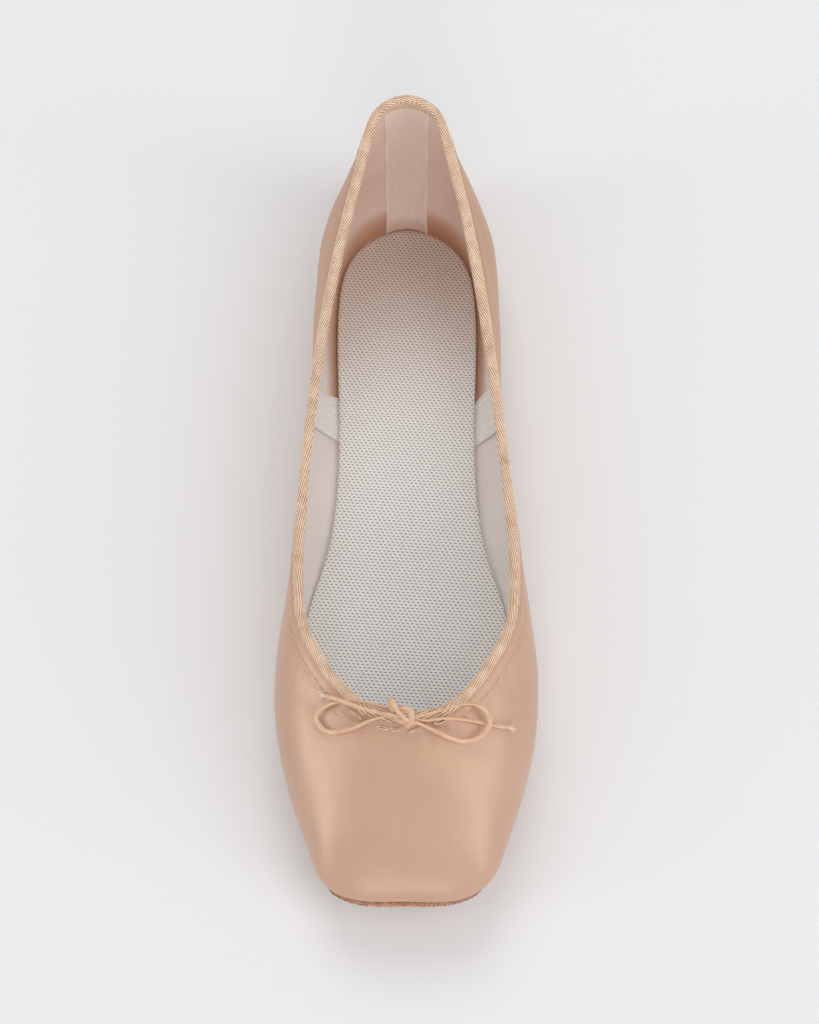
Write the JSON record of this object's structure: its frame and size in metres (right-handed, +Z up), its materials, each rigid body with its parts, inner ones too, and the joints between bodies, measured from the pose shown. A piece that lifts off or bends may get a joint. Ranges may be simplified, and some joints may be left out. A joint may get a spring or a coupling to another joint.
{
  "type": "pointe shoe",
  "caption": "Satin pointe shoe with a stiff rounded toe box and flat suede platform, a bound collar with a small drawstring bow, a cushioned insole and a narrow leather outsole.",
  "frame": {"origin": "on the floor, under the middle of the shoe's bounding box", "axes": "+Z up; the shoe runs along Y with the toe towards -Y and the heel towards +Y; X is across the shoe"},
  "size_m": [0.0768, 0.2431, 0.0636],
  "materials": {
    "satin": "satin",
    "sole_leather": "matt",
    "insole_mesh": "matt",
    "binding_tape": "satin",
    "suede": "matt",
    "drawstring": "satin"
  },
  "bodies": {
    "root": {"upper": "satin", "outsole": "sole_leather", "insole": "insole_mesh", "collar_binding": "binding_tape", "platform_tip": "suede", "bow_knot": "drawstring", "bow_loop_left": "drawstring", "bow_loop_right": "drawstring", "bow_tail_left": "drawstring", "bow_tail_right": "drawstring"}
  },
  "joints": []
}
